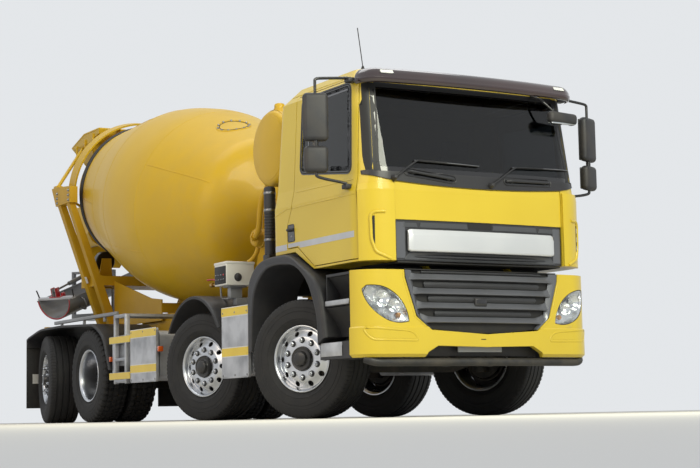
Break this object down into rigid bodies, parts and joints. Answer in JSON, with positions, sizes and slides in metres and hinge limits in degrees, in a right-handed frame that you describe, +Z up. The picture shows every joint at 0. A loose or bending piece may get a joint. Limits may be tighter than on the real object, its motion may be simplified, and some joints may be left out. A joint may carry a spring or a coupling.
{
  "type": "concrete mixer truck",
  "caption": "Concrete mixer truck with steered front and rear axles, a tilted mixing drum, a charging hopper, a slewing discharge chute and a tilting cab",
  "frame": {"origin": "on the ground under the middle of the whole machine", "axes": "+X forward, +Y to the truck's left, +Z up"},
  "size_m": [9.0015, 3.1508, 3.8031],
  "materials": {
    "body_paint": "gloss",
    "drum_paint": "satin",
    "frame_paint": "satin",
    "dark_metal": "satin",
    "grey_metal": "satin",
    "dark_plastic": "matte",
    "smoked_plastic": "gloss",
    "aluminium_panel": "brushed",
    "bright_bar": "satin",
    "steel": "machined",
    "iron": "matte",
    "tyre_rubber": "matte",
    "window_glass": "clear",
    "lamp_glass": "clear",
    "seat_cloth": "matte"
  },
  "bodies": {
    "truck": {"frame_rails": "dark_metal", "mixer_subframe": "frame_paint", "rear_pedestal": "frame_paint", "drum_gearbox": "grey_metal", "water_tank": "drum_paint", "control_box": "dark_plastic", "charge_hopper": "drum_paint", "discharge_funnel": "grey_metal", "engine_block": "iron", "drive_axle": "iron", "steer_axles": "iron", "leaf_springs": "iron", "front_bumper": "body_paint", "lower_grille": "aluminium_panel", "lamps": "lamp_glass", "underrun_bar": "dark_metal", "cab_steps": "dark_plastic", "mudguards": "dark_plastic", "side_guards": "aluminium_panel", "side_tanks": "aluminium_panel", "air_intake": "dark_plastic"},
    "cab": {"cab_shell": "body_paint", "windscreen": "window_glass", "sun_visor": "smoked_plastic", "kerb_mirror": "dark_plastic", "cowl_panel": "dark_plastic", "corner_panels": "body_paint", "cab_interior": "seat_cloth"},
    "front_flap": {"front_lid": "body_paint", "upper_grille": "dark_plastic", "silver_bar": "bright_bar"},
    "right_door": {"door_r": "body_paint", "door_glass_r": "window_glass", "mirrors_r": "dark_plastic"},
    "left_door": {"door_l": "body_paint", "door_glass_l": "window_glass", "mirrors_l": "dark_plastic"},
    "drum": {"mixer_drum": "drum_paint", "drum_ring": "steel"},
    "right_roller": {"roller_r": "steel"},
    "left_roller": {"roller_l": "steel"},
    "chute_post": {"chute_mast": "frame_paint"},
    "trough": {"chute_trough": "frame_paint"},
    "ram_tube": {"chute_cylinder": "grey_metal"},
    "ram_rod": {"chute_rod": "steel"},
    "knuckle_body_1r": {"knuckle_1r": "iron"},
    "knuckle_body_1l": {"knuckle_1l": "iron"},
    "knuckle_body_2r": {"knuckle_2r": "iron"},
    "knuckle_body_2l": {"knuckle_2l": "iron"},
    "knuckle_body_4r": {"knuckle_4r": "iron"},
    "knuckle_body_4l": {"knuckle_4l": "iron"},
    "wheel_body_1r": {"wheel_1r": "tyre_rubber"},
    "wheel_body_1l": {"wheel_1l": "tyre_rubber"},
    "wheel_body_2r": {"wheel_2r": "tyre_rubber"},
    "wheel_body_2l": {"wheel_2l": "tyre_rubber"},
    "wheel_body_4r": {"wheel_4r": "tyre_rubber"},
    "wheel_body_4l": {"wheel_4l": "tyre_rubber"},
    "wheel_body_3r": {"wheel_3r": "tyre_rubber"},
    "wheel_body_3l": {"wheel_3l": "tyre_rubber"}
  },
  "joints": [
    {"name": "cab_tilt", "type": "hinge", "parent": "truck", "child": "cab", "pos_m": [4.36081, 0, 1.13], "axis": [0, 1, 0], "range_deg": [0, 55]},
    {"name": "front_flap_swing", "type": "hinge", "parent": "cab", "child": "front_flap", "pos_m": [4.50581, 0, 2.003], "axis": [0, -1, 0], "range_deg": [0, 60]},
    {"name": "right_door_swing", "type": "hinge", "parent": "cab", "child": "right_door", "pos_m": [4.27781, -1.192, 2], "axis": [0, 0, 1], "range_deg": [0, 70]},
    {"name": "left_door_swing", "type": "hinge", "parent": "cab", "child": "left_door", "pos_m": [4.27781, 1.192, 2], "axis": [0, 0, -1], "range_deg": [0, 70]},
    {"name": "drum_spin", "type": "hinge", "parent": "truck", "child": "drum", "pos_m": [0.47281, 0, 2.182], "axis": [-0.9816, 0, 0.1908], "continuous": true},
    {"name": "right_roller_spin", "type": "hinge", "parent": "truck", "child": "right_roller", "pos_m": [-3.12866, -0.49565, 2.0075], "axis": [-0.9816, 0, 0.1908], "continuous": true},
    {"name": "left_roller_spin", "type": "hinge", "parent": "truck", "child": "left_roller", "pos_m": [-3.12866, 0.49565, 2.0075], "axis": [-0.9816, 0, 0.1908], "continuous": true},
    {"name": "chute_slew", "type": "hinge", "parent": "truck", "child": "chute_post", "pos_m": [-4.18419, 0, 1.33], "axis": [0, 0, 1], "range_deg": [-244, 0]},
    {"name": "chute_tilt", "type": "hinge", "parent": "chute_post", "child": "trough", "pos_m": [-4.1206, -0.10177, 1.575], "axis": [-0.848, -0.5299, 0], "range_deg": [-10, 20]},
    {"name": "ram_swing", "type": "hinge", "parent": "chute_post", "child": "ram_tube", "pos_m": [-3.96958, -0.34346, 1.953], "axis": [-0.848, -0.5299, 0], "range_deg": [-13.02, 25.55]},
    {"name": "ram_stroke", "type": "slide", "parent": "ram_tube", "child": "ram_rod", "axis": [0.4937, -0.7901, -0.3633], "range_m": [-0.15215, 0.07707]},
    {"name": "steer_1r", "type": "hinge", "parent": "truck", "child": "knuckle_body_1r", "pos_m": [3.10581, -0.86, 0.536], "axis": [0, 0, 1], "range_deg": [-64.7, 11.3]},
    {"name": "roll_1r", "type": "hinge", "parent": "knuckle_body_1r", "child": "wheel_body_1r", "pos_m": [3.18668, -1.02081, 0.536], "axis": [-0.4493, 0.8934, 0], "continuous": true},
    {"name": "steer_1l", "type": "hinge", "parent": "truck", "child": "knuckle_body_1l", "pos_m": [3.10581, 0.86, 0.536], "axis": [0, 0, 1], "range_deg": [-64.9, 11.5]},
    {"name": "roll_1l", "type": "hinge", "parent": "knuckle_body_1l", "child": "wheel_body_1l", "pos_m": [3.02493, 1.02081, 0.536], "axis": [-0.4493, 0.8934, 0], "continuous": true},
    {"name": "steer_2r", "type": "hinge", "parent": "truck", "child": "knuckle_body_2r", "pos_m": [1.12581, -0.86, 0.536], "axis": [0, 0, 1], "range_deg": [-45.75, 8.15]},
    {"name": "roll_2r", "type": "hinge", "parent": "knuckle_body_2r", "child": "wheel_body_2r", "pos_m": [1.18381, -1.0304, 0.536], "axis": [-0.3223, 0.9466, 0], "continuous": true},
    {"name": "steer_2l", "type": "hinge", "parent": "truck", "child": "knuckle_body_2l", "pos_m": [1.12581, 0.86, 0.536], "axis": [0, 0, 1], "range_deg": [-45.75, 8.15]},
    {"name": "roll_2l", "type": "hinge", "parent": "knuckle_body_2l", "child": "wheel_body_2l", "pos_m": [1.0678, 1.0304, 0.536], "axis": [-0.3223, 0.9466, 0], "continuous": true},
    {"name": "steer_4r", "type": "hinge", "parent": "truck", "child": "knuckle_body_4r", "pos_m": [-3.22419, -0.86, 0.536], "axis": [0, 0, 1], "range_deg": [-4.81, 26.6]},
    {"name": "roll_4r", "type": "hinge", "parent": "knuckle_body_4r", "child": "wheel_body_4r", "pos_m": [-3.25823, -1.03675, 0.536], "axis": [0.1891, 0.982, 0], "continuous": true},
    {"name": "steer_4l", "type": "hinge", "parent": "truck", "child": "knuckle_body_4l", "pos_m": [-3.22419, 0.86, 0.536], "axis": [0, 0, 1], "range_deg": [-4.81, 26.6]},
    {"name": "roll_4l", "type": "hinge", "parent": "knuckle_body_4l", "child": "wheel_body_4l", "pos_m": [-3.19016, 1.03675, 0.536], "axis": [0.1891, 0.982, 0], "continuous": true},
    {"name": "roll_3r", "type": "hinge", "parent": "truck", "child": "wheel_body_3r", "pos_m": [-1.82419, -0.9, 0.538], "axis": [0, 1, 0], "continuous": true},
    {"name": "roll_3l", "type": "hinge", "parent": "truck", "child": "wheel_body_3l", "pos_m": [-1.82419, 0.9, 0.538], "axis": [0, 1, 0], "continuous": true}
  ],
  "couplings": [
    {"joint": "right_roller_spin", "follows": "drum_spin", "ratio": -6.928},
    {"joint": "left_roller_spin", "follows": "drum_spin", "ratio": -6.928},
    {"joint": "ram_swing", "follows": "chute_tilt", "ratio": 1.2523},
    {"joint": "ram_stroke", "follows": "chute_tilt", "m_per_rad": -0.43014},
    {"joint": "steer_1l", "follows": "steer_1r", "ratio": 1},
    {"joint": "steer_2r", "follows": "steer_1r", "ratio": 0.704},
    {"joint": "steer_2l", "follows": "steer_1r", "ratio": 0.704},
    {"joint": "steer_4r", "follows": "steer_1r", "ratio": -0.408},
    {"joint": "steer_4l", "follows": "steer_1r", "ratio": -0.408}
  ]
}
